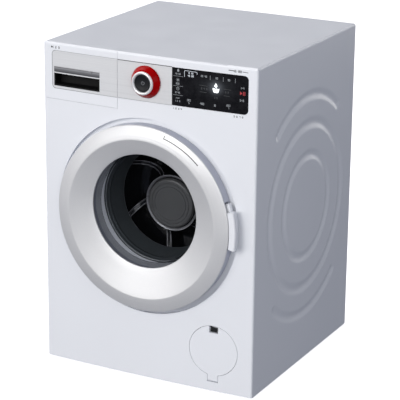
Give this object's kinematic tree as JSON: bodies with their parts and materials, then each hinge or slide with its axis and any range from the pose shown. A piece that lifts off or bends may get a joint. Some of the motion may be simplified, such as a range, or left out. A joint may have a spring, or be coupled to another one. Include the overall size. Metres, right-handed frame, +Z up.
{
  "type": "toy washing machine",
  "caption": "Child's play washing machine: white bowed casing, silver-ringed smoked round door, turning black drum, red selector knob, sliding drawer, dark display and small service flap.",
  "frame": {"origin": "middle of the footprint on the surface it stands on", "axes": "+X to the right of someone facing the door, +Y from the door to the back, +Z up"},
  "size_m": [0.184, 0.192, 0.261],
  "materials": {
    "white_gloss": "smooth white moulding with a soft gloss",
    "white_matte": "fine matt white moulding",
    "inner_white": "plain white moulding, not seen from outside",
    "silver_film": "silver film with faint brushing along the width",
    "display_black": "glossy black window",
    "ring_silver": "satin silver lacquer on a moulding",
    "chrome_trim": "bright plated moulding",
    "red_gloss": "glossy red moulding",
    "black_gloss": "glossy black moulding",
    "black_matte": "matt black moulding",
    "smoke_window": "clear smoke-tinted moulding",
    "hub_grey": "satin dark grey with turned lines",
    "rubber_black": "matt rubber",
    "seal_grey": "smooth dark grey seal",
    "steel": "plain bright steel",
    "spring_steel": "drawn spring steel",
    "brass": "turned brass",
    "nylon": "natural nylon",
    "board_green": "green board with resist",
    "lamp_clear": "clear water-white lamp body",
    "wire_red": "plain insulated wire",
    "cell_wrap": "plain wrapped cell, bare of print"
  },
  "bodies": {
    "casing": {"cabinet_shell": "white_gloss", "rear_cover": "white_matte", "base_plate": "white_matte", "rubber_feet": "rubber_black", "case_screws": "steel", "base_screws": "steel", "control_label": "silver_film", "display_window": "display_black", "control_board": "board_green", "board_parts": "black_matte", "board_screws": "steel", "selector_switch": "black_matte", "push_switch": "black_matte", "lamps": "lamp_clear", "speaker": "black_matte", "wires": "wire_red", "port_seal": "seal_grey", "tub": "inner_white", "tub_screws": "steel", "bearing_bush": "brass", "motor": "steel", "motor_bracket": "inner_white", "motor_screws": "steel", "battery_box": "black_matte", "battery_cells": "cell_wrap", "battery_contacts": "steel", "drawer_housing": "inner_white", "hinge_bracket": "inner_white", "hinge_pin": "steel", "hinge_screws": "steel", "catch_spring": "spring_steel", "service_pocket": "inner_white"},
    "door": {"door_ring": "ring_silver", "door_shell": "white_gloss", "door_window": "smoke_window", "door_screws": "steel", "handle_pin": "steel", "handle_spring": "spring_steel"},
    "handle": {"door_handle": "white_gloss"},
    "drum_unit": {"drum": "black_gloss", "drum_hub": "hub_grey", "drum_shaft": "steel", "drum_gear": "nylon"},
    "motor_rotor": {"motor_pinion": "brass", "motor_shaft": "steel"},
    "drawer": {"drawer_front": "white_gloss", "drawer_tray": "inner_white", "drawer_label": "silver_film", "grip_cup": "black_matte", "grip_strip": "chrome_trim"},
    "knob": {"knob_skirt": "red_gloss", "knob_ring": "chrome_trim", "knob_shaft": "nylon", "knob_clip": "steel", "button_spring": "spring_steel"},
    "button": {"power_button": "black_gloss"},
    "flap": {"service_flap": "white_gloss"},
    "battery_lid": {"battery_door": "white_matte", "battery_door_screw": "steel"}
  },
  "joints": [
    {"name": "door_swing", "type": "hinge", "parent": "casing", "child": "door", "pos_m": [-0.072, -0.088, 0.1337], "axis": [0, 0, -1], "range_deg": [0, 110], "deforming": ["catch_spring"]},
    {"name": "handle_pull", "type": "hinge", "parent": "door", "child": "handle", "pos_m": [0.0658, -0.0882, 0.139], "axis": [0, 0, -1], "range_deg": [0, 11], "stiffness_Nm_per_rad": 0.03, "springref_deg": -8.59},
    {"name": "drum_spin", "type": "hinge", "parent": "casing", "child": "drum_unit", "pos_m": [0, -0.024, 0.1335], "axis": [0, 1, 0], "continuous": true},
    {"name": "motor_spin", "type": "hinge", "parent": "casing", "child": "motor_rotor", "pos_m": [0, 0.026, 0.0985], "axis": [0, 1, 0], "continuous": true},
    {"name": "drawer_slide", "type": "slide", "parent": "casing", "child": "drawer", "axis": [0, -1, 0], "range_m": [0, 0.06]},
    {"name": "knob_turn", "type": "hinge", "parent": "casing", "child": "knob", "pos_m": [0, -0.084, 0.2405], "axis": [0, 1, 0], "continuous": true},
    {"name": "button_press", "type": "slide", "parent": "knob", "child": "button", "axis": [0, 1, 0], "range_m": [0, 0.0009], "stiffness_N_per_m": 400, "springref_m": -0.0008, "deforming": ["button_spring"]},
    {"name": "flap_tilt", "type": "hinge", "parent": "casing", "child": "flap", "pos_m": [0.0589, -0.08416, 0.01], "axis": [1, 0, 0], "range_deg": [0, 88]},
    {"name": "battery_lid_swing", "type": "hinge", "parent": "casing", "child": "battery_lid", "pos_m": [0, 0.0948, 0.0113], "axis": [-1, 0, 0], "range_deg": [0, 88]}
  ],
  "couplings": [
    {"joint": "motor_spin", "follows": "drum_spin", "ratio": -4}
  ]
}
